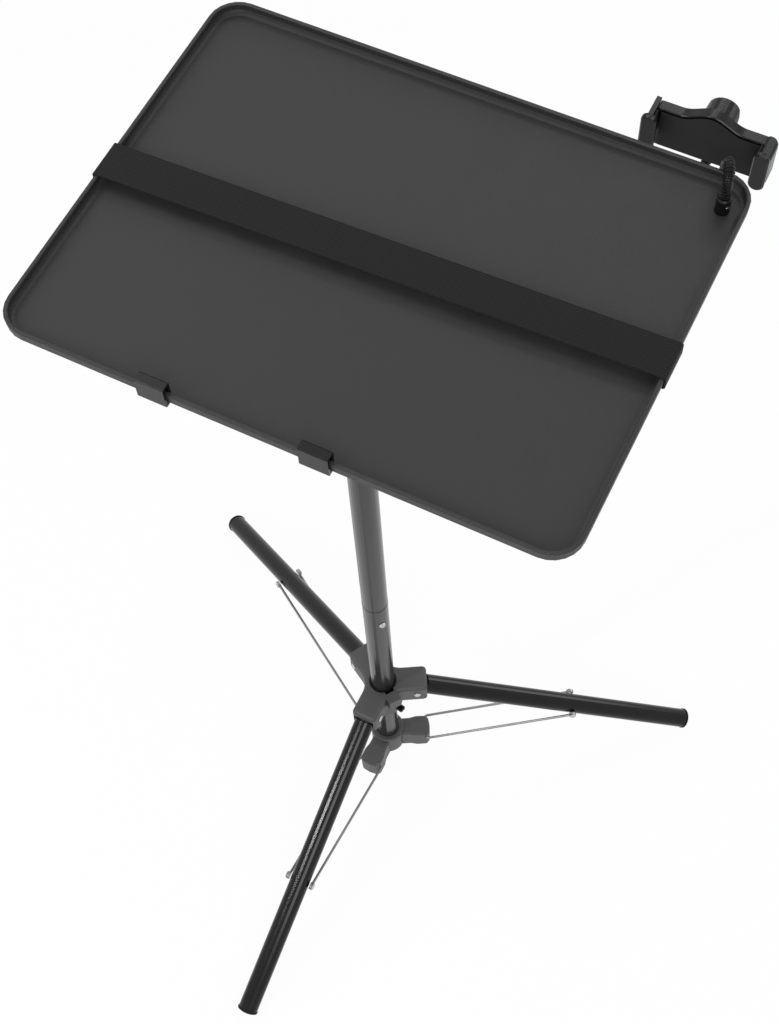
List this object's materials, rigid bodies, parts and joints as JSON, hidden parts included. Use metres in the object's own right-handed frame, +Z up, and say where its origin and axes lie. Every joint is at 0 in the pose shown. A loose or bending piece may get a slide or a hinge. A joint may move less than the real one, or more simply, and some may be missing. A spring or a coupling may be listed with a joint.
{
  "type": "tripod projector stand",
  "caption": "Folding tripod stand with a rimmed tilting tray, elastic strap and sliding stop clips for a projector, and a gooseneck phone holder",
  "frame": {"origin": "on the floor, on the axis of the centre pole, at the middle of the stand's bounding box", "axes": "+Z up along the pole, +X along the tray's long side to the phone holder's side, +Y to the back of the stand, where the phone holder is; the stop clips face -Y"},
  "size_m": [0.5438, 0.6222, 0.8146],
  "materials": {
    "black_enamel": "glossy black enamel on steel tube",
    "grey_enamel": "satin dark grey enamel",
    "powder_coat": "fine matte black powder coat",
    "hub_plastic": "moulded matte dark grey plastic",
    "black_plastic": "moulded black plastic",
    "holder_plastic": "moulded satin black plastic",
    "rubber": "soft black rubber",
    "elastic": "woven black elastic",
    "bare_steel": "bright plated steel",
    "dark_steel": "dark plated steel wire"
  },
  "bodies": {
    "base": {"lower_hub": "hub_plastic", "pole_foot_cap": "rubber", "pole_lower": "grey_enamel", "coupling_spigot": "bare_steel", "pole_upper": "grey_enamel", "height_clamp": "hub_plastic"},
    "upper_hub": {"star_hub": "hub_plastic", "hub_liner": "black_plastic", "leg_a_pivot_pin": "bare_steel", "leg_b_pivot_pin": "bare_steel", "leg_c_pivot_pin": "bare_steel"},
    "button": {"snap_button": "bare_steel", "button_leaf_spring": "bare_steel"},
    "lock_screw": {"hub_lock_screw": "black_plastic"},
    "mast_tube": {"mast": "bare_steel", "mast_end_plug": "black_plastic", "tilt_head": "hub_plastic"},
    "height_knob_body": {"height_knob": "black_plastic"},
    "tray": {"tray_pan": "powder_coat", "strap": "elastic", "strap_rivet_left": "bare_steel", "strap_rivet_right": "bare_steel", "tilt_bracket": "black_enamel", "bracket_nut_left": "bare_steel", "bracket_nut_right": "bare_steel", "tilt_bolt": "bare_steel", "gooseneck_base": "black_plastic", "gooseneck_nut": "bare_steel", "gooseneck": "black_plastic", "gooseneck_end": "black_plastic"},
    "tilt_knob_body": {"tilt_knob": "black_plastic"},
    "left_clip": {"clip_left": "holder_plastic"},
    "right_clip": {"clip_right": "holder_plastic"},
    "ball": {"ball_stud": "bare_steel"},
    "holder": {"holder_body": "holder_plastic", "holder_back": "holder_plastic", "holder_face_pad": "rubber", "fixed_jaw_pad": "rubber", "jaw_spring": "bare_steel"},
    "nut": {"holder_nut": "holder_plastic"},
    "jaw": {"sliding_jaw": "holder_plastic", "sliding_jaw_pad": "rubber"},
    "leg_a": {"leg_a_tube": "black_enamel", "leg_a_knuckle": "black_plastic", "leg_a_foot": "rubber"},
    "brace_wire_a": {"brace_a": "dark_steel", "brace_a_rivet_left": "bare_steel", "brace_a_rivet_right": "bare_steel"},
    "leg_b": {"leg_b_tube": "black_enamel", "leg_b_knuckle": "black_plastic", "leg_b_foot": "rubber"},
    "brace_wire_b": {"brace_b": "dark_steel", "brace_b_rivet_left": "bare_steel", "brace_b_rivet_right": "bare_steel"},
    "leg_c": {"leg_c_tube": "black_enamel", "leg_c_knuckle": "black_plastic", "leg_c_foot": "rubber"},
    "brace_wire_c": {"brace_c": "dark_steel", "brace_c_rivet_left": "bare_steel", "brace_c_rivet_right": "bare_steel"}
  },
  "joints": [
    {"name": "hub_slide", "type": "slide", "parent": "base", "child": "upper_hub", "axis": [0, 0, 1], "range_m": [0, 0.2037]},
    {"name": "leg_a_fold", "type": "hinge", "parent": "upper_hub", "child": "leg_a", "pos_m": [-0.02771, 0.016, 0.15888], "axis": [-0.5, -0.866, 0], "range_deg": [0, 56.3]},
    {"name": "leg_b_fold", "type": "hinge", "parent": "upper_hub", "child": "leg_b", "pos_m": [0.02771, 0.016, 0.15888], "axis": [-0.5, 0.866, 0], "range_deg": [0, 56.3]},
    {"name": "leg_c_fold", "type": "hinge", "parent": "upper_hub", "child": "leg_c", "pos_m": [0, -0.032, 0.15888], "axis": [1, 0, 0], "range_deg": [0, 56.3]},
    {"name": "brace_a_fold", "type": "hinge", "parent": "base", "child": "brace_wire_a", "pos_m": [-0.03377, 0.0195, 0.03588], "axis": [0.5, 0.866, 0], "range_deg": [0, 72.3]},
    {"name": "brace_b_fold", "type": "hinge", "parent": "base", "child": "brace_wire_b", "pos_m": [0.03377, 0.0195, 0.03588], "axis": [0.5, -0.866, 0], "range_deg": [0, 72.3]},
    {"name": "brace_c_fold", "type": "hinge", "parent": "base", "child": "brace_wire_c", "pos_m": [0, -0.039, 0.03588], "axis": [-1, 0, 0], "range_deg": [0, 72.3]},
    {"name": "button_press", "type": "slide", "parent": "base", "child": "button", "axis": [-0.8192, 0.5736, 0], "range_m": [0, 0.003], "stiffness_N_per_m": 300, "springref_m": -0.002},
    {"name": "lock_screw_turn", "type": "hinge", "parent": "upper_hub", "child": "lock_screw", "pos_m": [0.02005, -0.00426, 0.12888], "axis": [0.9781, -0.2079, 0], "range_deg": [0, 360]},
    {"name": "mast_slide", "type": "slide", "parent": "base", "child": "mast_tube", "axis": [0, 0, 1], "range_m": [-0.048, 0.11]},
    {"name": "height_knob_turn", "type": "hinge", "parent": "base", "child": "height_knob_body", "pos_m": [0, 0.025, 0.64488], "axis": [0, 1, 0], "range_deg": [0, 360]},
    {"name": "tray_tilt", "type": "hinge", "parent": "mast_tube", "child": "tray", "pos_m": [0, 0, 0.74388], "axis": [1, 0, 0], "range_deg": [-15, 60]},
    {"name": "tilt_knob_turn", "type": "hinge", "parent": "tray", "child": "tilt_knob_body", "pos_m": [0.0206, 0, 0.74388], "axis": [1, 0, 0], "range_deg": [0, 360]},
    {"name": "clip_left_slide", "type": "slide", "parent": "tray", "child": "left_clip", "axis": [1, 0, 0], "range_m": [-0.07, 0.03]},
    {"name": "clip_right_slide", "type": "slide", "parent": "tray", "child": "right_clip", "axis": [1, 0, 0], "range_m": [-0.04, 0.12]},
    {"name": "holder_spin", "type": "hinge", "parent": "tray", "child": "ball", "pos_m": [0.1535, 0.25676, 0.77262], "axis": [0, 0.7071, -0.7071], "range_deg": [-10, 10]},
    {"name": "holder_tilt", "type": "hinge", "parent": "ball", "child": "holder", "pos_m": [0.1535, 0.25676, 0.77262], "axis": [1, 0, 0], "range_deg": [-4, 10]},
    {"name": "holder_nut_turn", "type": "hinge", "parent": "holder", "child": "nut", "pos_m": [0.1535, 0.25676, 0.77262], "axis": [0, 0.7071, -0.7071], "range_deg": [0, 360]},
    {"name": "jaw_open", "type": "slide", "parent": "holder", "child": "jaw", "axis": [-1, 0, 0], "range_m": [0, 0.02], "stiffness_N_per_m": 150, "springref_m": -0.005}
  ],
  "couplings": [
    {"joint": "leg_a_fold", "follows": "hub_slide", "rad_per_m": 4.8139},
    {"joint": "leg_b_fold", "follows": "hub_slide", "rad_per_m": 4.8139},
    {"joint": "leg_c_fold", "follows": "hub_slide", "rad_per_m": 4.8139},
    {"joint": "brace_a_fold", "follows": "hub_slide", "rad_per_m": 6.1883},
    {"joint": "brace_b_fold", "follows": "hub_slide", "rad_per_m": 6.1883},
    {"joint": "brace_c_fold", "follows": "hub_slide", "rad_per_m": 6.1883}
  ]
}
